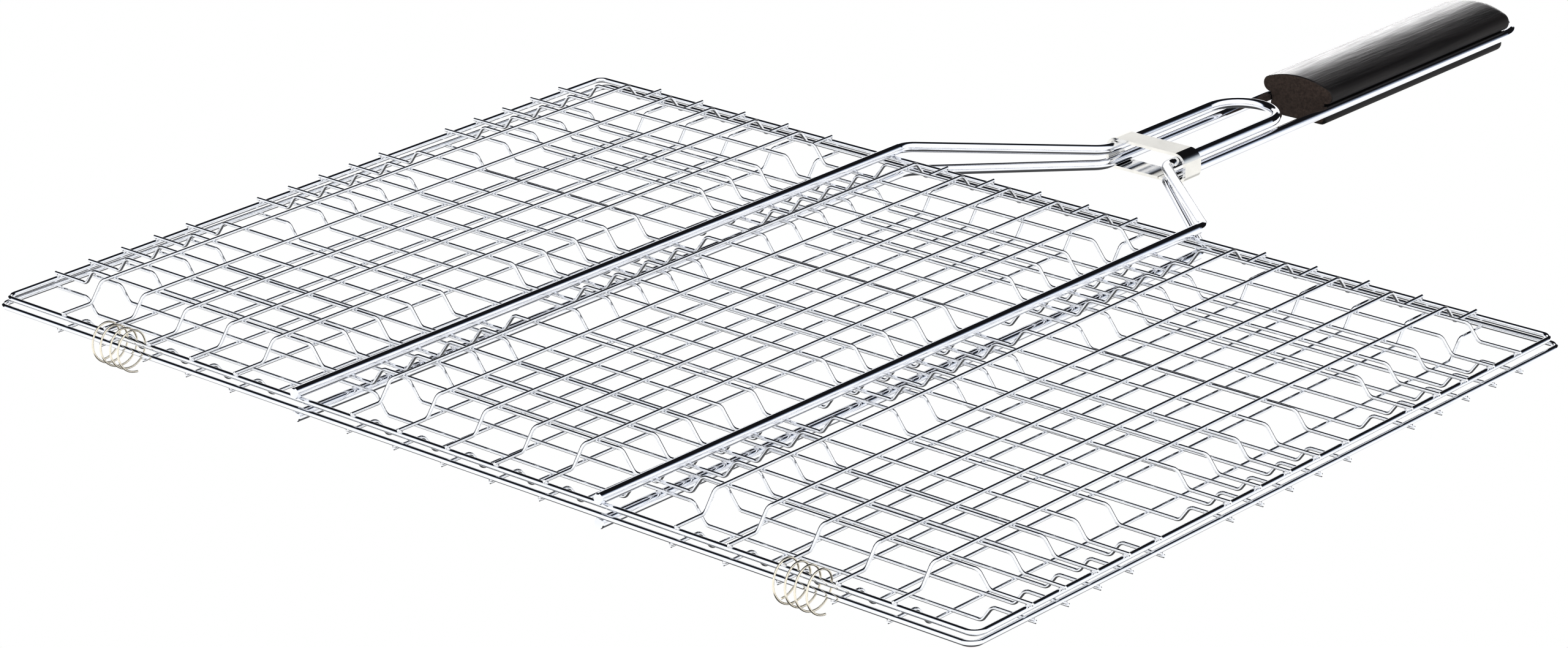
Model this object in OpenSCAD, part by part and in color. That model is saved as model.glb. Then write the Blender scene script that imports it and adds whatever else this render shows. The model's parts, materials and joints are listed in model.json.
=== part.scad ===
// Folding wire grill basket. Two welded mesh leaves are hinged at the front by two
// loose wire coils. Each leaf hangs on a bent rod that runs back as the handle, and a
// sliding ring round the four rod legs locks the leaves together. A wooden grip sits
// on the legs of the lower rod.
//
// The modules work from the hinge line: X along it, Y towards the grip, Z up.
// The finished part stands on Z = 0 with its bounding box centred on the origin.

/* [Wires and rods] */
// Diameter of the handle rods
rod_d = 4; // [3.6:0.1:4.2]
// Diameter of the rim wires
rim_d = 2; // [1.8:0.1:2.2]
// Diameter of the mesh wires
mesh_d = 1.25; // [1.05:0.1:1.45]
// How far each spot weld sinks one wire into the other
weld = 0.05; // [0.02:0.01:0.08]

/* [Rims] */
// Width of the upper rim between its wire centres
upper_w = 450; // [446:1:460]
// Width of the lower rim between its wire centres
lower_w = 451.5; // [446.5:1:460.5]
// Distance of the upper rim's front wire behind the hinge line
upper_front = 4; // [3.5:0.5:4.5]
// Distance of the lower rim's front wire behind the hinge line
lower_front = 1.5; // [1.5:0.5:3]
// Depth of the upper rim between its wire centres
upper_depth = 302; // [300:1:304]
// Depth of the lower rim between its wire centres
lower_depth = 307.9; // [304.9:1:308.9]
// Distance between the centres of the two closed rims at the hinge
rim_gap = 2.4; // [2.4:0.2:3.2]
// Corner radius of the rims at the wire centre
rim_corner_r = 3.5; // [2.5:0.5:9]
// Angle that the closed upper leaf stands open at rest
rest_tilt = 0.3; // [0.25:0.05:0.35]

/* [Mesh] */
// Rise of a pocket's long wires above their ends on the rim
pocket_rise = 6.8; // [6.4:0.4:8]
// Centre-line radius of the bends in the mesh wires
bend_r = 3; // [2:0.5:3]
// Spacing of the three groups of long wires across the leaf
group_x = 148; // [147:0.5:149]
// Spacing of the long wires in a group
pitch_x = 22.5; // [21:0.5:23]
// Spacing of the three groups of cross wires along the leaf
group_y = 97; // [95:0.5:97]
// Spacing of the cross wires in a group
pitch_y = 15.5; // [14:0.5:15.5]
// How far the mesh sits behind the middle of the rim
mesh_shift = 1.3; // [0:0.1:1.5]
// Flat length of a long wire from the front rim wire to its first bend
front_flat = 12.6; // [11:0.1:13]
// Flat length of a long wire from its last bend to the rear rim wire
rear_flat = 11.6; // [10:0.1:12]
// Flat length of a cross wire between its end bend and the side rim wire
side_flat = 15.3; // [14:0.1:16]
// Flat length of a cross wire from a rod to the middle pocket
rod_flat_in = 10; // [8:0.5:12]
// Flat length of a cross wire from a rod to a side pocket
rod_flat_out = 15.4; // [12.4:0.5:16.4]
// Overhang of the long wires past the front rim wire
front_tip = 1; // [0.8:0.1:1]
// Overhang of the long wires past the rear rim wire
rear_tip = 1.25; // [0.8:0.05:2]
// Overhang of the cross wires past the side rim wires
side_tip = 2; // [1:0.1:3]

/* [Handle rods] */
// Distance of each rod from the middle of the leaf
rod_x = 71; // [69:0.5:73]
// Distance of the rods' front ends behind the hinge line
rod_front = 1.2; // [1.2:0.1:2.5]
// Distance from the hinge line to the slight bend where the rods leave the leaves
rod_leave_y = 308.5; // [307.5:0.5:310.5]
// Distance from that bend to the corner where the rods turn inwards
turn_in = 4.5; // [4:0.25:6]
// Centre-line radius of the rods' corners
rod_bend_r = 8.05; // [6.44:0.805:8.05]
// Distance from the second corner to the bend where the legs run level
level_out = 4.6; // [4.4:0.1:5]
// Distance from the hinge line to the outer tip of the upper rod's loop
upper_tip = 443; // [436:1:443]
// Distance from the hinge line to the outer tip of the lower rod's hanging loop
lower_tip = 600.7; // [597.7:1:610.7]
// Length of the soft edge at the rods' front ends
rod_edge = 0.5; // [0.3:0.1:0.7]

/* [Slide ring] */
// Distance from the hinge line to the ring's front edge
ring_y = 369; // [368:0.5:370]
// Length of the ring along the handle
ring_len = 9.5; // [8:0.5:14]
// Thickness of the ring's strip
ring_wall = 1.2; // [0.8:0.1:1.4]
// Clear width inside the ring
ring_clear_w = 35.6; // [35.2:0.2:37]
// Height that the ring has to spare over the stacked rods
ring_play = 0.3; // [0.3:0.1:0.8]
// Inner corner radius of the ring
ring_corner_r = 3.6; // [3:0.1:3.6]
// Gap where the two ends of the strip meet under the ring
ring_seam = 0.3; // [0.2:0.1:1]
// Distance of that gap from the middle of the ring
seam_x = 6; // [-8:0.5:8]

/* [Hinge coils] */
// Diameter of the coils' wire
coil_d = 0.8; // [0.6:0.1:1]
// Radius of a coil at the wire's centre
coil_r = 7.1; // [6.8:0.1:8]
// Number of turns in a coil
coil_turns = 4; // [3:1:4]
// Spacing of the turns
coil_pitch = 4.5; // [3.5:0.1:4.5]
// Distance from the middle of the hinge to a coil's inner end
coil_x = 150.3; // [149.8:0.1:150.8]

/* [Grip] */
// Distance from the hinge line to the grip's front face
grip_y = 464; // [463:1:470]
// Length of the grip along its middle
grip_len = 124; // [115:1:124]
// Width across the grip's cap
cap_w = 33.2; // [32:0.2:36]
// Height of the cap's crown above the hinge line
cap_top = 8; // [7.4:0.1:10]
// Height of the cap's underside above the hinge line
cap_under = -0.9; // [-0.9:0.1:-0.6]
// Radius of the cap's rounded edges
cap_edge_r = 3.2; // [2.6:0.1:3.6]
// Bulge of the grip's far end, seen from above
far_bulge = 5; // [3:0.5:6]
// Width of the stem between the rods
stem_w = 26; // [25.6:0.1:26.4]
// Radius of the stem's lower edges
stem_edge_r = 3; // [2:0.5:5]
// Slope length under the grip's front end
nose = 2; // [1:0.5:8]
// Clearance round a rod in the grip's grooves
groove_gap = 0.1; // [0.05:0.05:0.2]

/* [Hidden] */
$fn = 40;

// Wires in a group count from the group's middle wire
group_wires = [-2 : 2];

// Mesh wires slope 4 up in 3 along, so that slope lengths stay in the ratio 3:4:5
slope_cos = 3 / 5;
slope_sin = 4 / 5;
slope_angle = atan2(4, 3);
slope_run = 3 / 4;
// Distance from a bend's corner to the ends of its arc
bend_reach = bend_r / 2;

// Heights above the rim's centre, towards the outside of the leaf
flange_z = (rim_d + mesh_d) / 2 - weld;
long_top_z = flange_z + pocket_rise;
cross_top_z = long_top_z - (mesh_d - weld);
rod_z = (rim_d + rod_d) / 2 - weld;
cross_rod_z = rod_z - (rod_d + mesh_d) / 2 + weld;

// Chamfered end of a cut wire
tip_len = 0.25;
tip_ratio = 0.6;

// The rods' corners turn by an angle whose sine and cosine are exact decimals, 0.752192
// and 0.658944, so the ends of their straight and bent stretches meet exactly
rod_turn = atan2(11753, 10296);
rod_reach = rod_bend_r * tan(rod_turn / 2);
// Length of the oblique stretch between the corners, and its reach along the leaf
oblique_len = 75;
oblique_y = oblique_len * cos(rod_turn);
bends_apart = turn_in + oblique_y + level_out;
leg_x = rod_x - oblique_len * sin(rod_turn);
// Extra angle of a corner's arc and extra length of a straight, cut off where they meet
spare_turn = 5;
spare_len = 0.5;
cut_block = 3 * rod_d;
// Half angles of the slight bends that bring the legs together at the ring. Their sines
// and cosines are exact decimals too
upper_leave_half = asin(0.0319959);
upper_level_half = asin(0.0293907);
lower_half = asin(0.00812397);
upper_dip = 2 * upper_leave_half - rest_tilt;
// Heights of the level legs above and below the hinge line
upper_leg_z = rod_leave_y * sin(rest_tilt) + (rim_gap / 2 + rod_z) * cos(rest_tilt)
              - bends_apart * sin(upper_dip);
lower_leg_z = rim_gap / 2 + rod_z - bends_apart * sin(2 * lower_half);

// The ring fits round the stacked legs and is centred on them
ring_clear_h = upper_leg_z + lower_leg_z + rod_d + ring_play;
ring_mid_z = (upper_leg_z - lower_leg_z) / 2;

// The wires of the lower pockets and the underside of the grip rest on one plane
rest_depth = rim_gap / 2 + long_top_z + mesh_d / 2;
coil_outer_r = coil_r + coil_d / 2;
middle_y = (lower_tip - coil_outer_r) / 2;

// Steps of the round parts drawn point by point
coil_steps = 36;
coil_sides = 10;
arc_steps = 8;

// Points on an arc about c from angle a to angle b
function arc(c, r, a, b) =
  [for (i = [0 : arc_steps]) c + r * [cos(a + (b - a) * i / arc_steps),
                                      sin(a + (b - a) * i / arc_steps)]];

// Moves geometry from the hinge line to the finished part's place
module from_hinge() {
  translate([0, -middle_y, rest_depth]) children();
}

module on_upper_leaf() {
  from_hinge() rotate([rest_tilt, 0, 0]) translate([0, 0, rim_gap / 2]) children();
}

module on_lower_leaf() {
  from_hinge() mirror([0, 0, 1]) translate([0, 0, rim_gap / 2]) children();
}

// ---- Mesh wires ----

// Bend that leaves the origin along +X and turns up by the slope angle
module mesh_bend() {
  translate([0, 0, bend_r])
    rotate([90, 0, 0])
      rotate([0, 0, -90])
        rotate_extrude(angle = slope_angle)
          translate([bend_r, 0])
            circle(d = mesh_d);
}

// Slope that rises from a corner at the origin, with the bends at both its corners
module rising_slope(rise) {
  translate([-bend_reach, 0, 0]) mesh_bend();
  translate([bend_reach * slope_cos, 0, bend_reach * slope_sin])
    rotate([0, 90 - slope_angle, 0])
      cylinder(h = rise / slope_sin - 2 * bend_reach, d = mesh_d);
  translate([rise * slope_run, 0, rise])
    rotate([0, 180, 0])
      translate([-bend_reach, 0, 0]) mesh_bend();
}

// Wire along X through level flats, each [start, end, height], joined by slopes
module stepped_wire(flats) {
  last = len(flats) - 1;
  for (i = [0 : last]) {
    start = flats[i][0] + (i > 0 ? bend_reach : 0);
    end = flats[i][1] - (i < last ? bend_reach : 0);
    translate([start, 0, flats[i][2]])
      rotate([0, 90, 0])
        cylinder(h = end - start, d = mesh_d);
  }
  for (i = [1 : last]) {
    rise = flats[i][2] - flats[i - 1][2];
    translate([flats[i - 1][1], 0, flats[i - 1][2]])
      if (rise > 0) rising_slope(rise);
      else mirror([0, 0, 1]) rising_slope(-rise);
  }
  translate([flats[0][0], 0, flats[0][2]]) rotate([0, -90, 0]) cut_tip();
  translate([flats[last][1], 0, flats[last][2]]) rotate([0, 90, 0]) cut_tip();
}

module cut_tip() {
  cylinder(h = tip_len, d1 = mesh_d, d2 = mesh_d * tip_ratio);
}

// One long wire of a leaf whose rim runs from front to rear
module long_wire(front, rear) {
  run = pocket_rise * slope_run;
  rotate([0, 0, 90])
    stepped_wire([[front - front_tip + tip_len, front + front_flat, flange_z],
                  [front + front_flat + run, rear - rear_flat - run, long_top_z],
                  [rear - rear_flat, rear + rear_tip - tip_len, flange_z]]);
}

// One cross wire of a leaf with the given width; it dips under both rods
module cross_wire(w) {
  edge = w / 2;
  side_run = (cross_top_z - flange_z) * slope_run;
  rod_run = (cross_top_z - cross_rod_z) * slope_run;
  side_bend = edge - side_flat;
  outer_bend = rod_x + rod_flat_out;
  inner_bend = rod_x - rod_flat_in;
  stepped_wire([[-edge - side_tip + tip_len, -side_bend, flange_z],
                [-side_bend + side_run, -outer_bend - rod_run, cross_top_z],
                [-outer_bend, -inner_bend, cross_rod_z],
                [-inner_bend + rod_run, inner_bend - rod_run, cross_top_z],
                [inner_bend, outer_bend, cross_rod_z],
                [outer_bend + rod_run, side_bend - side_run, cross_top_z],
                [side_bend, edge + side_tip - tip_len, flange_z]]);
}

// Five long wires; group is -1 for the left, 0 for the middle and 1 for the right
module long_wires(front, depth, group) {
  for (i = group_wires)
    translate([group * group_x + i * pitch_x, 0, 0])
      long_wire(front, front + depth);
}

// Five cross wires; group is -1 for the front, 0 for the middle and 1 for the rear
module cross_wires(w, front, depth, group) {
  for (i = group_wires)
    translate([0, front + depth / 2 + mesh_shift + group * group_y + i * pitch_y, 0])
      cross_wire(w);
}

// ---- Rims ----

// Closed wire rectangle with rounded corners
module rim(w, front, depth) {
  half_w = w / 2 - rim_corner_r;
  half_d = depth / 2 - rim_corner_r;
  translate([0, front + depth / 2, 0]) {
    for (side = [-1, 1]) {
      translate([-half_w, side * depth / 2, 0])
        rotate([0, 90, 0])
          cylinder(h = 2 * half_w, d = rim_d);
      translate([side * w / 2, half_d, 0])
        rotate([90, 0, 0])
          cylinder(h = 2 * half_d, d = rim_d);
    }
    for (corner = [0 : 3])
      translate([half_w * (corner == 0 || corner == 3 ? 1 : -1),
                 half_d * (corner < 2 ? 1 : -1), 0])
        rotate([0, 0, 90 * corner])
          rotate_extrude(angle = 90)
            translate([rim_corner_r, 0])
              circle(d = rim_d);
  }
}

// ---- Handle rods ----

// Straight stretch of rod along Y
module rod_along(from, to) {
  translate([0, from, 0])
    rotate([-90, 0, 0])
      cylinder(h = to - from, d = rod_d);
}

// Keeps what lies in front of a mitre at the origin, where the rod's next stretch is
// turned up by twice the half angle
module before_mitre(half) {
  difference() {
    children();
    rotate([half, 0, 0])
      translate([-cut_block / 2, 0, -cut_block / 2]) cube(cut_block);
  }
}

// Keeps what lies behind that mitre, seen from the stretch that is turned up
module after_mitre(half) {
  difference() {
    children();
    rotate([-half, 0, 0])
      translate([-cut_block / 2, -cut_block, -cut_block / 2]) cube(cut_block);
  }
}

// Turns by the half angle twice, so that the mitre between lies exactly half way
module turn_up(half) {
  rotate([half, 0, 0]) rotate([half, 0, 0]) children();
}

// Corner that leaves the origin along +Y and turns left, cut square at its far end
module rod_corner() {
  translate([-rod_bend_r, 0, 0])
    difference() {
      rotate_extrude(angle = rod_turn + spare_turn)
        translate([rod_bend_r, 0])
          circle(d = rod_d);
      rotate([0, 0, rod_turn])
        translate([rod_bend_r - cut_block / 2, 0, -cut_block / 2]) cube(cut_block);
    }
}

// Stretch from the leaf to the level bend: along Y, round a corner towards the middle,
// oblique, round a second corner and along Y again
module oblique_leg(leave_half, level_half) {
  after_mitre(leave_half) rod_along(-spare_len, turn_in - rod_reach);
  translate([0, turn_in - rod_reach, 0]) rod_corner();
  translate([0, turn_in, 0])
    rotate([0, 0, rod_turn]) {
      rod_along(rod_reach, oblique_len - rod_reach);
      translate([0, oblique_len - rod_reach, 0]) mirror([1, 0, 0]) rod_corner();
    }
  translate([leg_x - rod_x, bends_apart, 0])
    before_mitre(level_half) rod_along(rod_reach - level_out, spare_len);
}

// Whole rod, with the origin where it leaves the leaf's rear edge, its ends in front
// and its level legs behind
module handle_rod(leave_half, level_half, leg_len) {
  front_len = rod_leave_y - rod_front - rod_edge;
  for (side = [0, 1])
    mirror([side, 0, 0]) {
      translate([rod_x, 0, 0]) before_mitre(leave_half) rod_along(-front_len, spare_len);
      translate([rod_x, -front_len, 0])
        rotate([90, 0, 0])
          cylinder(h = rod_edge, d1 = rod_d, d2 = rod_d - rod_edge);
      turn_up(leave_half) {
        translate([rod_x, 0, 0]) oblique_leg(leave_half, level_half);
        translate([0, bends_apart, 0])
          turn_up(level_half)
            translate([leg_x, 0, 0])
              after_mitre(level_half) rod_along(-spare_len, leg_len);
      }
    }
  turn_up(leave_half)
    translate([0, bends_apart, 0])
      turn_up(level_half)
        translate([0, leg_len, 0])
          rotate_extrude(angle = 180)
            translate([leg_x, 0])
              circle(d = rod_d);
}

// Length of the level legs for a loop whose outer tip is at tip. The rod is tilted at
// rest and dips by the angle dip between its bends.
function level_leg_len(tip, tilt, dip) =
  let (leave_y = rod_leave_y * cos(tilt) - (rim_gap / 2 + rod_z) * sin(tilt),
       len = tip - rod_d / 2 - leg_x - leave_y - bends_apart * cos(dip))
  round(len * 100) / 100;

// ---- Slide ring ----

module ring() {
  flat_w = ring_clear_w - 2 * ring_corner_r;
  flat_h = ring_clear_h - 2 * ring_corner_r;
  wall_x = ring_clear_w / 2;
  wall_z = ring_clear_h / 2;
  seam_from = seam_x - ring_seam / 2;
  seam_to = seam_x + ring_seam / 2;
  translate([0, ring_y, ring_mid_z]) {
    translate([-flat_w / 2, 0, wall_z]) cube([flat_w, ring_len, ring_wall]);
    translate([-flat_w / 2, 0, -wall_z - ring_wall])
      cube([seam_from + flat_w / 2, ring_len, ring_wall]);
    translate([seam_to, 0, -wall_z - ring_wall])
      cube([flat_w / 2 - seam_to, ring_len, ring_wall]);
    for (x = [-wall_x - ring_wall, wall_x])
      translate([x, 0, -flat_h / 2]) cube([ring_wall, ring_len, flat_h]);
    for (corner = [0 : 3])
      translate([flat_w / 2 * (corner == 0 || corner == 3 ? 1 : -1), ring_len,
                 flat_h / 2 * (corner < 2 ? 1 : -1)])
        rotate([90, 0, 0])
          rotate([0, 0, 90 * corner])
            rotate_extrude(angle = 90)
              translate([ring_corner_r, 0])
                square([ring_wall, ring_len]);
  }
}

// ---- Hinge coils ----

// Point j round the wire's section at step i along the coil
function coil_point(i, j) =
  let (turn = 360 * i / coil_steps - 90,
       round = 360 * j / coil_sides,
       r = coil_r + coil_d / 2 * cos(round))
  [coil_pitch * i / coil_steps + coil_d / 2 * sin(round), r * cos(turn), r * sin(turn)];

// Helix that starts at the origin and winds along +X
module coil() {
  steps = coil_turns * coil_steps;
  points = [for (i = [0 : steps], j = [0 : coil_sides - 1]) coil_point(i, j)];
  sides = [for (i = [0 : steps - 1], j = [0 : coil_sides - 1])
             let (a = i * coil_sides + j,
                  b = i * coil_sides + (j + 1) % coil_sides)
             each [[a, b, b + coil_sides], [a, b + coil_sides, a + coil_sides]]];
  start_cap = [for (j = [coil_sides - 1 : -1 : 0]) j];
  end_cap = [for (j = [0 : coil_sides - 1]) steps * coil_sides + j];
  polyhedron(points, concat(sides, [start_cap, end_cap]));
}

// ---- Grip ----

// Half section of the grip from its underside up over the cap, in X and Z
function grip_half() =
  let (stem = stem_w / 2,
       edge_c = [cap_w / 2 - cap_edge_r, cap_under + cap_edge_r],
       // The crown's arc meets the edge's arc without a corner
       drop = cap_top - cap_edge_r - edge_c.y,
       lift = (edge_c.x * edge_c.x - drop * drop) / (2 * drop),
       crown_r = lift + drop + cap_edge_r,
       meet = atan2(lift, edge_c.x))
  concat([[0, -rest_depth]],
         arc([stem - stem_edge_r, -rest_depth + stem_edge_r], stem_edge_r, -90, 0),
         [[stem, cap_under]],
         arc(edge_c, cap_edge_r, -90, meet),
         arc([0, cap_top - crown_r], crown_r, meet, 90));

module grip_section() {
  half = grip_half();
  polygon(concat(half, [for (i = [len(half) - 2 : -1 : 1]) [-half[i].x, half[i].y]]));
}

// Outline from above: straight sides and a bulged far end
module grip_plan() {
  half = cap_w / 2;
  bulge_r = (half * half + far_bulge * far_bulge) / (2 * far_bulge);
  sweep = asin(half / bulge_r);
  polygon(concat([[-half, 0], [half, 0]],
                 arc([0, grip_len - bulge_r], bulge_r, 90 - sweep, 90 + sweep)));
}

// Outline from the side: the underside slopes up to the front face
module grip_side() {
  polygon([[0, cap_top], [grip_len, cap_top], [grip_len, -rest_depth],
           [nose, -rest_depth], [0, -rest_depth + nose / 2]]);
}

module grip_body() {
  difference() {
    translate([0, grip_y, 0])
      intersection() {
        translate([0, grip_len, 0]) rotate([90, 0, 0]) linear_extrude(grip_len) grip_section();
        translate([0, 0, -rest_depth]) linear_extrude(rest_depth + cap_top) grip_plan();
        translate([-cap_w / 2, 0, 0])
          rotate([90, 0, 90])
            linear_extrude(cap_w) grip_side();
      }
    for (side = [-1, 1])
      translate([side * leg_x, grip_y - 1, -lower_leg_z])
        rotate([-90, 0, 0])
          cylinder(h = grip_len + 2, d = rod_d + 2 * groove_gap);
  }
}

// ---- Nodes ----

module upper_rim() {
  color("silver") on_upper_leaf() rim(upper_w, upper_front, upper_depth);
}

module upper_long_wires(group) {
  color("gainsboro") on_upper_leaf() long_wires(upper_front, upper_depth, group);
}

module upper_cross_wires(group) {
  color("lightgray") on_upper_leaf() cross_wires(upper_w, upper_front, upper_depth, group);
}

module upper_handle_rod() {
  color("silver")
    on_upper_leaf()
      translate([0, rod_leave_y, rod_z])
        handle_rod(-upper_leave_half, upper_level_half,
                   level_leg_len(upper_tip, rest_tilt, upper_dip));
}

module lower_rim() {
  color("silver") on_lower_leaf() rim(lower_w, lower_front, lower_depth);
}

module lower_long_wires(group) {
  color("gainsboro") on_lower_leaf() long_wires(lower_front, lower_depth, group);
}

module lower_cross_wires(group) {
  color("lightgray") on_lower_leaf() cross_wires(lower_w, lower_front, lower_depth, group);
}

module lower_handle_rod() {
  color("silver")
    on_lower_leaf()
      translate([0, rod_leave_y, rod_z])
        handle_rod(-lower_half, lower_half, level_leg_len(lower_tip, 0, 2 * lower_half));
}

module hinge_coil_left() {
  color("tan") from_hinge() translate([-coil_x - coil_turns * coil_pitch, 0, 0]) coil();
}

module hinge_coil_right() {
  color("tan") from_hinge() translate([coil_x, 0, 0]) coil();
}

module slide_ring() {
  color("gainsboro") from_hinge() ring();
}

module grip() {
  color("#2b2623") from_hinge() grip_body();
}

upper_rim();
upper_long_wires(-1);  // upper_long_wires_left
upper_long_wires(0);  // upper_long_wires_middle
upper_long_wires(1);  // upper_long_wires_right
upper_cross_wires(-1);  // upper_cross_wires_front
upper_cross_wires(0);  // upper_cross_wires_middle
upper_cross_wires(1);  // upper_cross_wires_rear
upper_handle_rod();
lower_rim();
lower_long_wires(-1);  // lower_long_wires_left
lower_long_wires(0);  // lower_long_wires_middle
lower_long_wires(1);  // lower_long_wires_right
lower_cross_wires(-1);  // lower_cross_wires_front
lower_cross_wires(0);  // lower_cross_wires_middle
lower_cross_wires(1);  // lower_cross_wires_rear
lower_handle_rod();
hinge_coil_left();
hinge_coil_right();
slide_ring();
grip();
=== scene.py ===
"""Chrome grill basket on a white studio sweep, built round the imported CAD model."""

import json
import math

import bmesh
import bpy
from mathutils import Matrix, Vector


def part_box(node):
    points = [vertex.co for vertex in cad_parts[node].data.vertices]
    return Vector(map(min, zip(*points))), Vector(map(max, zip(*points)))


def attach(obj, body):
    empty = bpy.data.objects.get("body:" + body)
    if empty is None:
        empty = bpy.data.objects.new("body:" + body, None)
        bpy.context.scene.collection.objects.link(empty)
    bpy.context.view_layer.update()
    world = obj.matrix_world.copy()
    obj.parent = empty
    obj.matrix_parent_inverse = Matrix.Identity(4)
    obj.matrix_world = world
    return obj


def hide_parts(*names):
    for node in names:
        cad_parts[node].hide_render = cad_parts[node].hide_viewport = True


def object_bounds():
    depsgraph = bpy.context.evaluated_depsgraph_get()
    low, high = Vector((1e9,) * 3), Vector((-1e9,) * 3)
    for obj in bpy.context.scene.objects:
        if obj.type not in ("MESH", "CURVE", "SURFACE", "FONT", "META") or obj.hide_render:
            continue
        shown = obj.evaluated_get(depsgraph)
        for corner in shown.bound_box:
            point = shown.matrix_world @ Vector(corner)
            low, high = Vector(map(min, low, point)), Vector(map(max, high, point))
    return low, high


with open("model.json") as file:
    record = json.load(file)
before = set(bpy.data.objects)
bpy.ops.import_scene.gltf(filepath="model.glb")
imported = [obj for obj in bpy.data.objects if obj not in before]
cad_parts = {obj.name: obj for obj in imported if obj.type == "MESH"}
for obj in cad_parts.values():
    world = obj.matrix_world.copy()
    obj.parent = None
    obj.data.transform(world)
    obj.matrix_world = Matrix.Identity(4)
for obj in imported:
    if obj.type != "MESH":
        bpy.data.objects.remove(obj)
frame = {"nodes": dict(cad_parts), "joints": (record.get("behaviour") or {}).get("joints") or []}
cad_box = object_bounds()

MM = 0.001
HINGE = Vector(next(j for j in frame["joints"] if j["name"] == "leaf_hinge")["pos_m"])


# ---- Node helpers ----

# Sockets of a Mix node by data type: first input, second input and result
MIX_SOCKETS = {"FLOAT": (2, 3, 0), "RGBA": (6, 7, 2)}


class Shader:
    """A node tree, with short calls that add the nodes it needs and link them."""

    def __init__(self, tree):
        self.tree = tree
        tree.nodes.clear()

    def add(self, kind, **settings):
        """A new node with the inputs and settings given by name."""
        node = self.tree.nodes.new("ShaderNode" + kind)
        for name, value in settings.items():
            if name in node.inputs:
                node.inputs[name].default_value = value
            else:
                setattr(node, name, value)
        return node

    def link(self, source, target):
        self.tree.links.new(source, target)

    def noise(self, place, scale, detail, roughness=0.5):
        """Cloudy noise over place, from 0 to 1."""
        node = self.add("TexNoise", Scale=scale, Detail=detail, Roughness=roughness)
        self.link(place, node.inputs["Vector"])
        return node.outputs["Fac"]

    def coordinate(self, vector, axis):
        """One coordinate of a vector."""
        node = self.add("SeparateXYZ")
        self.link(vector, node.inputs["Vector"])
        return node.outputs[axis]

    def map_range(self, value, source, target, interpolation="LINEAR"):
        """Value carried from the source range to the target range and held at its ends."""
        node = self.add("MapRange", clamp=True, interpolation_type=interpolation)
        for name, number in zip(("From Min", "From Max", "To Min", "To Max"), (*source, *target)):
            node.inputs[name].default_value = number
        self.link(value, node.inputs["Value"])
        return node.outputs["Result"]

    def ramp(self, factor, stops):
        """A colour that passes through stops, each (place, colour), as factor grows."""
        node = self.add("ValToRGB")
        elements = node.color_ramp.elements
        while len(elements) < len(stops):
            elements.new(0.5)
        for element, (place, color) in zip(elements, stops):
            element.position = place
            element.color = (*color, 1)
        self.link(factor, node.inputs["Fac"])
        return node.outputs["Color"]

    def mix(self, data_type, factor, first, second, blend_type="MIX"):
        """First and second mixed by factor. Each of the three is a socket or a fixed value."""
        node = self.add("Mix", data_type=data_type, blend_type=blend_type)
        first_at, second_at, result_at = MIX_SOCKETS[data_type]
        for at, source in ((0, factor), (first_at, first), (second_at, second)):
            if isinstance(source, bpy.types.NodeSocket):
                self.link(source, node.inputs[at])
            else:
                node.inputs[at].default_value = source
        return node.outputs[result_at]

    def bump(self, height, strength, distance):
        """Surface direction disturbed by height."""
        node = self.add("Bump", Strength=strength, Distance=distance)
        self.link(height, node.inputs["Height"])
        return node.outputs["Normal"]

    def surface(self, color, roughness, normal, metallic=0.0):
        """Ends a material's tree in an ordinary surface."""
        node = self.add("BsdfPrincipled", Metallic=metallic)
        self.link(color, node.inputs["Base Color"])
        self.link(roughness, node.inputs["Roughness"])
        self.link(normal, node.inputs["Normal"])
        self.output("Material", node.outputs["BSDF"])

    def output(self, kind, surface):
        """Ends the tree, in a Material or a World output."""
        node = self.add("Output" + kind)
        self.link(surface, node.inputs["Surface"])


def new_material(name):
    material = bpy.data.materials.new(name)
    material.use_nodes = True
    return material, Shader(material.node_tree)


# ---- Materials ----

# Colour in the haziest patches of the plating, as a share of its tint, and the noise values
# between which a patch fades out
HAZE_SHARE = 0.94
HAZE_EDGE = (0.35, 0.6)

# Share of the grain's coarseness that is left along the wood's fibres
FIBRE_STRETCH = 0.07
STAIN_DARK, STAIN_LIGHT = (0.016, 0.015, 0.016), (0.06, 0.055, 0.055)
END_DARK, END_LIGHT = (0.065, 0.048, 0.042), (0.14, 0.108, 0.092)
END_ROUGHNESS = 0.75
# End grain shows where the wood faces the front: Y of its normal, from none of it to all of it
FRONT_FACING = (-0.55, -0.85)


def chrome(name, tint, roughness, wear_scale):
    """Bright plating: mirror-like, with faint haze patches and a hint of drawn-wire texture."""
    material, s = new_material(name)
    place = s.add("TexCoord").outputs["Object"]
    haze = s.noise(place, scale=wear_scale, detail=4.0, roughness=0.6)
    hazy_tint = [HAZE_SHARE * c for c in tint]
    color = s.ramp(haze, list(zip(HAZE_EDGE, (hazy_tint, tint))))
    drawn = s.noise(place, scale=2600.0, detail=2.0)
    s.surface(color, s.map_range(haze, (0, 1), roughness),
              s.bump(drawn, strength=0.02, distance=0.03 * MM), metallic=1.0)
    return material


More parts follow.
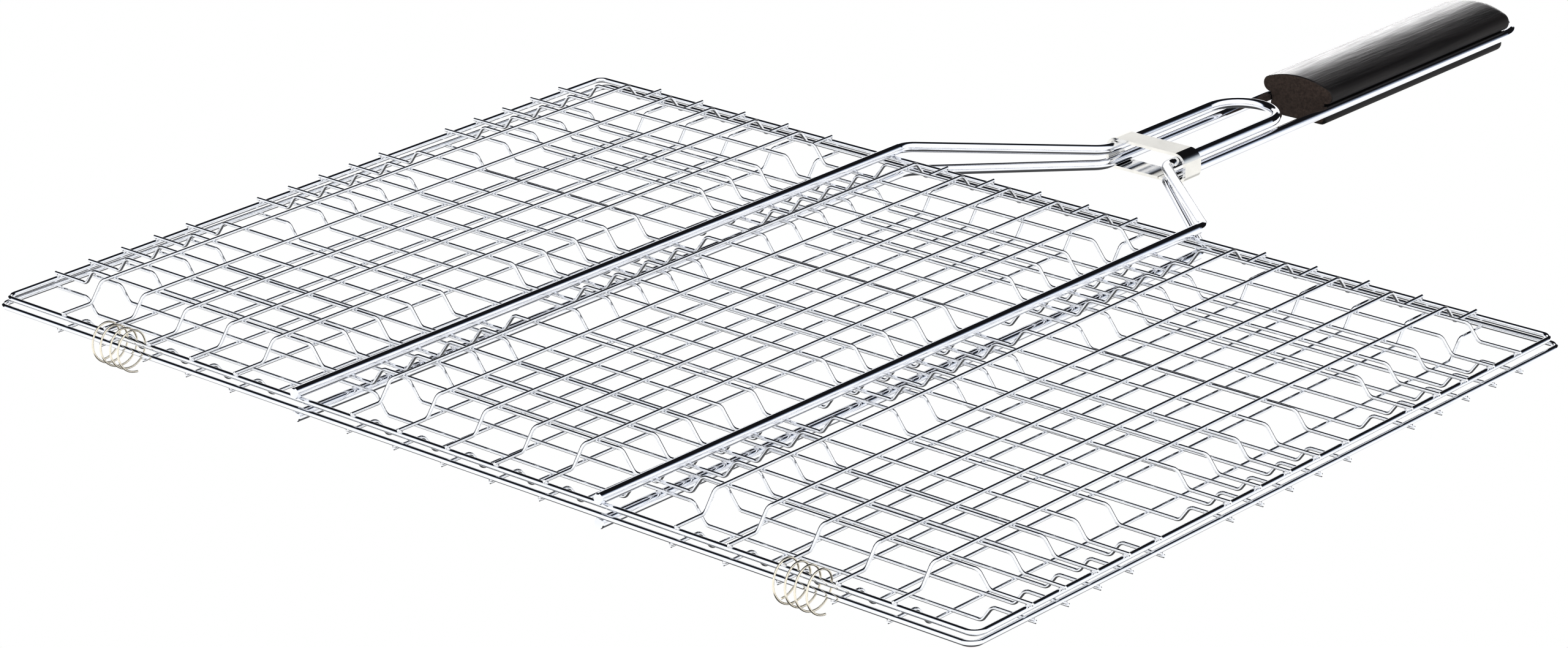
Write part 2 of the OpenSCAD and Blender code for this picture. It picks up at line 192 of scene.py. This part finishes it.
def stained_wood():
    """Black stain over open grain that runs along Y, with rough brown end grain in front."""
    material, s = new_material("black_stained_wood")
    place = s.add("TexCoord").outputs["Object"]
    stretch = s.add("Mapping", Scale=(1.0, FIBRE_STRETCH, 1.0))
    s.link(place, stretch.inputs["Vector"])
    along = stretch.outputs["Vector"]
    grain = s.noise(along, scale=900.0, detail=4.0, roughness=0.6)
    bands = s.noise(along, scale=220.0, detail=3.0)
    pores = s.noise(place, scale=900.0, detail=5.0, roughness=0.7)
    side = s.ramp(bands, [(0.3, STAIN_DARK), (0.75, STAIN_LIGHT)])
    end = s.ramp(pores, [(0.3, END_DARK), (0.7, END_LIGHT)])
    facing = s.coordinate(s.add("NewGeometry").outputs["Normal"], "Y")
    front = s.map_range(facing, FRONT_FACING, (0, 1))
    satin = s.map_range(grain, (0, 1), (0.52, 0.3))
    s.surface(s.mix("RGBA", front, side, end), s.mix("FLOAT", front, satin, END_ROUGHNESS),
              s.bump(grain, strength=0.6, distance=0.2 * MM))
    return material


RIM_CHROME = chrome("rim_chrome", (0.93, 0.94, 0.96), (0.02, 0.07), 90.0)
MESH_CHROME = chrome("mesh_chrome", (0.92, 0.93, 0.95), (0.03, 0.1), 140.0)
ROD_CHROME = chrome("rod_chrome", (0.93, 0.94, 0.97), (0.01, 0.05), 60.0)
COIL_STEEL = chrome("coil_steel", (0.93, 0.89, 0.80), (0.12, 0.26), 200.0)
RING_NICKEL = chrome("ring_nickel", (0.90, 0.89, 0.86), (0.05, 0.14), 120.0)
WELD_METAL = chrome("weld_metal", (0.90, 0.90, 0.91), (0.08, 0.2), 400.0)
WOOD = stained_wood()

# Material of a CAD node, by the first of these words in its name
NODE_MATERIALS = (("wires", MESH_CHROME), ("rim", RIM_CHROME), ("rod", ROD_CHROME),
                  ("coil", COIL_STEEL), ("ring", RING_NICKEL), ("grip", WOOD))

for node, cad in frame["nodes"].items():
    cad.data.materials.clear()
    cad.data.materials.append(next(material for word, material in NODE_MATERIALS if word in node))


# ---- Building pieces round the CAD model ----

HARD_EDGE = math.radians(40)


def add_piece(name, verts, faces, material, body):
    """A smooth-shaded mesh, with its hard edges kept, that rides on a CAD body."""
    mesh = bpy.data.meshes.new(name)
    mesh.from_pydata(verts, [], faces)
    mesh.materials.append(material)
    mesh.shade_smooth()
    mesh.set_sharp_from_angle(angle=HARD_EDGE)
    piece = bpy.data.objects.new(name, mesh)
    bpy.context.scene.collection.objects.link(piece)
    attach(piece, body)
    return piece


def loft(rings):
    """Vertices and faces of a solid skinned over rings of as many points each."""
    count = len(rings[0])
    verts = [point for ring in rings for point in ring]
    faces = [(i * count + j, i * count + (j + 1) % count,
              (i + 1) * count + (j + 1) % count, (i + 1) * count + j)
             for i in range(len(rings) - 1) for j in range(count)]
    faces.append(tuple(range(count - 1, -1, -1)))
    faces.append(tuple((len(rings) - 1) * count + j for j in range(count)))
    return verts, faces


def arc(cx, cz, r, start, end, steps):
    """Points on an arc about (cx, cz) in X and Z, angles in degrees."""
    angles = [math.radians(start + (end - start) * i / steps) for i in range(steps + 1)]
    return [(cx + r * math.cos(a), cz + r * math.sin(a)) for a in angles]


def inset(points, depth):
    """The closed outline moved inwards by depth."""
    count = len(points)
    moved = []
    for i, (x, z) in enumerate(points):
        before, after = points[i - 1], points[(i + 1) % count]
        dx, dz = after[0] - before[0], after[1] - before[1]
        length = math.hypot(dx, dz) or 1.0
        moved.append((x - dz / length * depth, z + dx / length * depth))
    return moved


# ---- Wooden grip ----

GRIP_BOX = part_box("grip")
# Height of the cap's underside above the grip's own underside
CAP_UNDER = 9.3 * MM
CAP_EDGE_R = 3.2 * MM
STEM_HALF = 13.0 * MM
STEM_EDGE_R = 3.0 * MM
# Most of the wood below a groove that the stem's rounded edge may take
STEM_EDGE_SHARE = 0.8
GROOVE_GAP = 0.12 * MM

# Over its first stretch the underside climbs to the front face
NOSE_LEN = 2.0 * MM
NOSE_RISE = 1.0 * MM
# Sections behind the front face, as distance from it and inset in mm: the inset eases the edge
FRONT_SECTIONS = ((0.0, 0.5), (0.1, 0.3), (0.3, 0.1), (0.6, 0.0), (1.0, 0.0), (1.5, 0.0),
                  (2.0, 0.0), (3.0, 0.0), (5.0, 0.0), (8.0, 0.0), (12.0, 0.0))
BODY_SECTIONS = 15

# The far end is rounded in plan, down to a flat of a share of the width, and its top drops
END_LEN = 5.0 * MM
END_SECTIONS = 12
END_ROUNDNESS = 2.6
END_FLAT = 0.3
END_DROP = 1.2 * MM


def grip_groove():
    """Centre and radius of the right-hand groove, round the rod's leg beside the grip."""
    leg = [v.co for v in frame["nodes"]["lower_handle_rod"].data.vertices
           if v.co.x > 0 and v.co.y > GRIP_BOX[0].y]
    low, high = min(p.z for p in leg), max(p.z for p in leg)
    rod_r = (high - low) / 2
    return max(p.x for p in leg) - rod_r, low + rod_r, rod_r + GROOVE_GAP


GROOVE_X, GROOVE_Z, GROOVE_R = grip_groove()


def grip_half(bottom):
    """Half of the grip's section, from the middle of its underside up to its crown."""
    stem_edge_r = min(STEM_EDGE_R, (GROOVE_Z - GROOVE_R - bottom) * STEM_EDGE_SHARE)
    reach = math.sqrt(GROOVE_R ** 2 - (GROOVE_X - STEM_HALF) ** 2)
    turn = math.degrees(math.atan2(reach, GROOVE_X - STEM_HALF))
    under = GRIP_BOX[0].z + CAP_UNDER
    edge_x, edge_z = GRIP_BOX[1].x - CAP_EDGE_R, under + CAP_EDGE_R
    drop = GRIP_BOX[1].z - CAP_EDGE_R - edge_z
    lift = (edge_x ** 2 - drop ** 2) / (2 * drop)
    crown_r = lift + drop + CAP_EDGE_R
    meet = math.degrees(math.atan2(lift, edge_x))
    return ([(0.0, bottom), ((STEM_HALF - stem_edge_r) / 2, bottom)]
            + arc(STEM_HALF - stem_edge_r, bottom + stem_edge_r, stem_edge_r, -90, 0, 5)
            + arc(GROOVE_X, GROOVE_Z, GROOVE_R, 180 + turn, 180 - turn, 8)
            + [(STEM_HALF, under)]
            + arc(edge_x, edge_z, CAP_EDGE_R, -90, meet, 10)
            + arc(0.0, GRIP_BOX[1].z - crown_r, crown_r, meet, 90, 14)[1:])


def grip_ring(y, bottom, depth=0.0, width=1.0, top_drop=0.0):
    """One section of the grip at y, inset by depth, narrowed to width and lowered by top_drop."""
    low, high = GRIP_BOX[0].z, GRIP_BOX[1].z
    half = grip_half(bottom)
    outline = half + [(-x, z) for x, z in half[-2:0:-1]]
    ring = []
    for x, z in inset(outline, depth):
        share = max(0.0, (z - low) / (high - low))
        ring.append((x * width, y, z - top_drop * share))
    return ring


def build_grip():
    """The wooden grip with eased edges, a rounded far end and grooves that clear the rods."""
    front, rear, low = GRIP_BOX[0].y, GRIP_BOX[1].y, GRIP_BOX[0].z
    rings = []
    for behind, depth in FRONT_SECTIONS:
        rise = NOSE_RISE * max(0.0, 1 - behind * MM / NOSE_LEN)
        rings.append(grip_ring(front + behind * MM, low + rise, depth * MM))
    start, end = front + FRONT_SECTIONS[-1][0] * MM, rear - END_LEN
    for i in range(1, BODY_SECTIONS + 1):
        rings.append(grip_ring(start + (end - start) * i / BODY_SECTIONS, low))
    for i in range(1, END_SECTIONS + 1):
        t = math.sin(math.pi / 2 * i / END_SECTIONS)
        width = (1 - t ** END_ROUNDNESS) ** (1 / END_ROUNDNESS)
        rings.append(grip_ring(rear - END_LEN * (1 - t), low, width=max(width, END_FLAT),
                               top_drop=END_DROP * t ** 4))
    verts, faces = loft(rings)
    outward = [tuple(reversed(face)) for face in faces]
    piece = add_piece("wooden_grip", verts, outward, WOOD, "lower_basket")
    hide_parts("grip")


# ---- Hinge coils ----

COIL_WIRE = 0.72 * MM
COIL_TURNS = 4
TURN_STEPS = 40
WIRE_SIDES = 12
# Hand winding: how far the coil's radius and its turns' places stray, as shares of its own size
RADIUS_ERROR = 0.015
PLACE_ERROR = 0.012
# A cut end's last ring: its distance beyond the end, in wire radii, and its share of the wire
TIP_REACH = 0.4
TIP_WIDTH = 0.55


def wave(cycles):
    """A sine wave over a number of cycles."""
    return math.sin(2 * math.pi * cycles)


def tube(path, radius, sides):
    """Rings of a round tube along a path of points."""
    rings = []
    side = Vector((1, 0, 0))
    for i, point in enumerate(path):
        ahead = path[min(i + 1, len(path) - 1)] - path[max(i - 1, 0)]
        ahead.normalize()
        side = (side - ahead * side.dot(ahead)).normalized()
        up = ahead.cross(side)
        rings.append([point + (side * math.cos(a) + up * math.sin(a)) * radius
                      for a in (2 * math.pi * j / sides for j in range(sides))])
    return rings


def wire_tip(ring, end, before, radius):
    """A smaller ring beyond the end of a wire, which rounds its cut end."""
    tip = end + (end - before).normalized() * radius * TIP_REACH
    return [tip + (point - end) * TIP_WIDTH for point in ring]


def build_coil(node, body, phase):
    """A hinge coil wound by hand, a little uneven in a way set by phase."""
    low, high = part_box(node)
    wire = COIL_WIRE / 2
    radius = (high.z - low.z) / 2 - wire
    span = high.x - low.x - COIL_WIRE
    steps = COIL_TURNS * TURN_STEPS
    path = []
    for i in range(steps + 1):
        t = i / steps
        angle = 2 * math.pi * COIL_TURNS * t - math.pi / 2
        r = radius * (1 - RADIUS_ERROR + RADIUS_ERROR * wave(2.3 * t + phase))
        shift = PLACE_ERROR * wave(1.7 * t + phase) * math.sin(math.pi * t)
        path.append(Vector((low.x + wire + span * (t + shift),
                            HINGE.y + r * math.cos(angle), HINGE.z + r * math.sin(angle))))
    rings = tube(path, wire, WIRE_SIDES)
    rings = ([wire_tip(rings[0], path[0], path[1], wire)] + rings
             + [wire_tip(rings[-1], path[-1], path[-2], wire)])
    verts, faces = loft([[tuple(point) for point in ring] for ring in rings])
    piece = add_piece(node.replace("hinge_", "wound_"), verts, faces, COIL_STEEL, body)
    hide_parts(node)


# ---- Spot welds ----

MESH_WIRE = 1.25 * MM
ROD_D = 4.0 * MM
GROUP_WIRES = 5
BEAD_LONG = 1.12 * MM
BEAD_WIDE = 0.92 * MM
BEAD_HIGH = 0.55 * MM
# Distance from a rod within which a cross wire's lowest point is where it touches the rod
DIP_REACH = 12.0 * MM


def leaf_frame(rim):
    """The closed leaf's own frame: its origin is on the hinge line and its rim is level."""
    low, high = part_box(rim)
    level_low, level_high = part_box("lower_rim")
    thick = level_high.z - level_low.z
    tilt = math.asin(max(0.0, (high.z - low.z - thick) / (high.y - low.y)))
    return Matrix.Translation(HINGE) @ Matrix.Rotation(tilt, 4, "X")


def points_in(matrix, node):
    """A CAD node's points as seen from the frame in matrix."""
    back = matrix.inverted()
    return [back @ v.co for v in frame["nodes"][node].data.vertices]


def box_in(matrix, node):
    """Low and high corners of a CAD node in the frame in matrix."""
    points = points_in(matrix, node)
    return Vector(map(min, zip(*points))), Vector(map(max, zip(*points)))


def spaced(low, high):
    """Middles of a group's wires, which fill the range from low to high."""
    wire = MESH_WIRE / 2
    step = (high - low - MESH_WIRE) / (GROUP_WIRES - 1)
    return [low + wire + step * i for i in range(GROUP_WIRES)]


def rod_touch(matrix, node, rod_x, outward):
    """Height where the cross wires of a group touch the rods."""
    dip = [p.z * outward for p in points_in(matrix, node) if abs(p.x - rod_x) < DIP_REACH]
    return outward * (min(dip) + MESH_WIRE)


def bead(verts, faces, centre, along_x, seed):
    """Adds one drop of weld metal: a flattened drop, lopsided in a way set by seed."""
    drop = bmesh.new()
    bmesh.ops.create_icosphere(drop, subdivisions=2, radius=1.0)
    start = len(verts)
    for v in drop.verts:
        swell = (1 + 0.08 * math.sin(3.1 * v.co.x + seed)
                 + 0.07 * math.cos(4.3 * v.co.y + 1.7 * seed))
        long, wide = v.co.x * BEAD_LONG * swell, v.co.y * BEAD_WIDE * swell
        x, y = (long, wide) if along_x else (wide, long)
        verts.append(tuple(Vector((x, y, v.co.z * BEAD_HIGH * swell)) + centre))
    for f in drop.faces:
        faces.append(tuple(start + v.index for v in f.verts))
    drop.free()


def build_welds(leaf, body):
    """A drop of weld metal where each mesh wire ends on the rim or crosses a handle rod."""
    matrix = leaf_frame(leaf + "_rim")
    low, high = box_in(matrix, leaf + "_rim")
    rim_r = (high.z - low.z) / 2
    outward = 1 if leaf == "upper" else -1
    rim_top = (low.z + high.z) / 2 + outward * rim_r
    front, rear = low.y + rim_r, high.y - rim_r
    edge = high.x - rim_r
    rod_x = box_in(matrix, leaf + "_handle_rod")[1].x - ROD_D / 2
    verts, faces = [], []
    for group in ("left", "middle", "right"):
        a, b = box_in(matrix, f"{leaf}_long_wires_{group}")
        for i, x in enumerate(spaced(a.x, b.x)):
            for y in (front, rear):
                bead(verts, faces, Vector((x, y, rim_top)), False, 3.7 * i + 90 * x + 50 * y)
    for group in ("front", "middle", "rear"):
        node = f"{leaf}_cross_wires_{group}"
        a, b = box_in(matrix, node)
        rod_z = rod_touch(matrix, node, rod_x, outward)
        for i, y in enumerate(spaced(a.y, b.y)):
            for side in (-1, 1):
                on_rim, on_rod = (side * edge, y, rim_top), (side * rod_x, y, rod_z)
                bead(verts, faces, Vector(on_rim), True, 2.9 * i + side + 70 * y)
                bead(verts, faces, Vector(on_rod), True, 1.9 * i - side + 40 * y)
    placed = [tuple(matrix @ Vector(v)) for v in verts]
    add_piece(leaf + "_spot_welds", placed, faces, WELD_METAL, body)


build_grip()
build_coil("hinge_coil_left", "left_coil", 0.15)
build_coil("hinge_coil_right", "right_coil", 0.6)
build_welds("upper", "upper_basket")
build_welds("lower", "lower_basket")


# ---- Studio ----

FLOOR_HALF = 9.0
FLOOR_GAP = 0.2 * MM
# Glow of the floor where the camera sees it, where it is mirrored at a slant, and where it is
# mirrored from above; the last two meet between two sines of the angle to the floor. The dim glow
# mirrored from above is painted shade, standing in for the basket's shadow on the floor beneath
# it
FLOOR_SEEN = 1.0
FLOOR_SLANT = 1.1
FLOOR_UNDER_SHADE = 0.2
FLOOR_STEEP = (0.6, 0.76)

WORLD_GLOW = 1.12
BACKDROP = (0.9, 0.9, 0.9, 1)
WHITE, BLACK = (1, 1, 1), (0, 0, 0)
# Brightness of the surroundings by the sine of the height above the horizon, and by how far
# behind the basket they lie; the brighter of the two counts
DARK_ROOM = (0.035, 0.035, 0.04)
HEIGHT_STOPS = [(0.04, WHITE), (0.06, DARK_ROOM)]
DEPTH_STOPS = [(0.05, WHITE), (0.11, (0.82, 0.85, 0.90)), (0.18, (0.40, 0.44, 0.50)),
               (0.24, (0.10, 0.11, 0.135)), (0.34, DARK_ROOM)]
# A white panel stands straight behind the basket: where it ends above and to the sides
PANEL_TOP_STOPS = [(0.342, WHITE), (0.355, BLACK)]
PANEL_SIDE_STOPS = [(0.80, BLACK), (0.87, WHITE)]


def white_floor():
    """White table top that glows by itself, so that nothing casts a shadow on it. Where it is
    mirrored from above it glows dimmer, as painted shade for the basket's shadow on the floor
    beneath it.
    """
    h = FLOOR_HALF
    mesh = bpy.data.meshes.new("studio_floor")
    mesh.from_pydata([(-h, -h, 0), (h, -h, 0), (h, h, 0), (-h, h, 0)], [], [(0, 1, 2, 3)])
    floor = bpy.data.objects.new("studio_floor", mesh)
    floor.location.z = cad_box[0][2] - FLOOR_GAP
    bpy.context.scene.collection.objects.link(floor)
    material, s = new_material("floor_white")
    steep = s.coordinate(s.add("NewGeometry").outputs["Incoming"], "Z")
    # Painted shade: the floor seen steeply from above in reflections is dimmed as if the basket
    # shadowed it
    mirrored = s.map_range(steep, FLOOR_STEEP, (FLOOR_SLANT, FLOOR_UNDER_SHADE), "SMOOTHSTEP")
    camera_ray = s.add("LightPath").outputs["Is Camera Ray"]
    glow = s.add("Emission")
    s.link(s.mix("FLOAT", camera_ray, mirrored, FLOOR_SEEN), glow.inputs["Strength"])
    s.output("Material", glow.outputs["Emission"])
    mesh.materials.append(material)


def how_far_behind(s, direction):
    """How far a direction points away from the camera over the level ground, from -1 to 1."""
    look = s.add("VectorTransform", vector_type="VECTOR", convert_from="CAMERA",
                 convert_to="WORLD", Vector=(0.0, 0.0, 1.0))
    level = s.add("VectorMath", operation="MULTIPLY")
    level.inputs[1].default_value = (1.0, 1.0, 0.0)
    s.link(look.outputs["Vector"], level.inputs[0])
    unit = s.add("VectorMath", operation="NORMALIZE")
    s.link(level.outputs["Vector"], unit.inputs[0])
    behind = s.add("VectorMath", operation="DOT_PRODUCT")
    s.link(direction, behind.inputs[0])
    s.link(unit.outputs["Vector"], behind.inputs[1])
    return behind.outputs["Value"]


def studio_world():
    """White surroundings with a dark, unlit room behind the basket, as the camera sees it.

    The room draws the black lines on the wires.
    """
    world = bpy.data.worlds.new("studio")
    world.use_nodes = True
    bpy.context.scene.world = world
    s = Shader(world.node_tree)
    direction = s.add("TexCoord").outputs["Generated"]
    height = s.coordinate(direction, "Z")
    behind = how_far_behind(s, direction)
    panel = s.mix("RGBA", 1.0, s.ramp(height, PANEL_TOP_STOPS), s.ramp(behind, PANEL_SIDE_STOPS),
                  "DARKEN")
    room = s.mix("RGBA", 1.0, s.ramp(height, HEIGHT_STOPS), s.ramp(behind, DEPTH_STOPS),
                 "LIGHTEN")
    mirrored = s.mix("RGBA", 1.0, panel, room, "LIGHTEN")
    camera_ray = s.add("LightPath").outputs["Is Camera Ray"]
    glow = s.add("Background", Strength=WORLD_GLOW)
    s.link(s.mix("RGBA", camera_ray, mirrored, BACKDROP), glow.inputs["Color"])
    s.output("World", glow.outputs["Background"])


def softbox(name, place, size, power, only=None):
    """A soft lamp aimed at the basket. With only, it lights just the pieces in only.

    A lamp that lights everything is hidden from mirror finishes, and so never shows on a wire.
    """
    light = bpy.data.lights.new(name, "AREA")
    light.shape = "RECTANGLE"
    light.size, light.size_y = size
    light.energy = power
    lamp = bpy.data.objects.new(name, light)
    lamp.location = place
    lamp.rotation_euler = (HINGE - Vector(place)).to_track_quat("-Z", "Y").to_euler()
    lamp.visible_camera = False
    lamp.visible_glossy = only is not None
    if only:
        lit = bpy.data.collections.new(name + "_lights")
        for piece in only:
            lit.objects.link(piece)
        lamp.light_linking.receiver_collection = lit
    bpy.context.scene.collection.objects.link(lamp)


# ---- Camera, at the photograph's angle ----

CAMERA_AZIMUTH = 42.895
CAMERA_ELEVATION = 21.29
CAMERA_ROLL = -1.657
CAMERA_DISTANCE = 1696.7 * MM
CAMERA_SHIFT = (8.487 * MM, -0.392 * MM)
TARGET_BEHIND_HINGE = 154 * MM
SENSOR = 36.0
LENS = 112.41
FAR_CLIP = 50.0


def photo_camera():
    azimuth, elevation, roll = map(math.radians, (CAMERA_AZIMUTH, CAMERA_ELEVATION, CAMERA_ROLL))
    back = Vector((math.sin(azimuth) * math.cos(elevation),
                   -math.cos(azimuth) * math.cos(elevation),
                   math.sin(elevation)))
    level = (-back).cross(Vector((0, 0, 1))).normalized()
    upright = level.cross(-back)
    right = level * math.cos(roll) + upright * math.sin(roll)
    up = upright * math.cos(roll) - level * math.sin(roll)
    turn = Matrix((right, up, back)).transposed().to_4x4()
    place = (HINGE + Vector((0, TARGET_BEHIND_HINGE, 0)) + back * CAMERA_DISTANCE
             + right * CAMERA_SHIFT[0] + up * CAMERA_SHIFT[1])
    camera = bpy.data.objects.new("camera", bpy.data.cameras.new("camera"))
    camera.data.lens = LENS
    camera.data.sensor_width = SENSOR
    camera.data.clip_end = FAR_CLIP
    camera.matrix_world = Matrix.Translation(place) @ turn
    bpy.context.scene.collection.objects.link(camera)
    bpy.context.scene.camera = camera


white_floor()
studio_world()
softbox("overhead", (-0.4, 0.6, 1.8), (1.8, 1.8), 25.0)
softbox("behind", (-1.75, 2.0, 0.42), (1.8, 0.8), 30.0, [bpy.data.objects["wooden_grip"]])
photo_camera()

# Strong contrast, as in the sharpened photograph
CONTRAST_GAMMA = 0.6
bpy.context.scene.view_settings.view_transform = "Standard"
bpy.context.scene.view_settings.gamma = CONTRAST_GAMMA
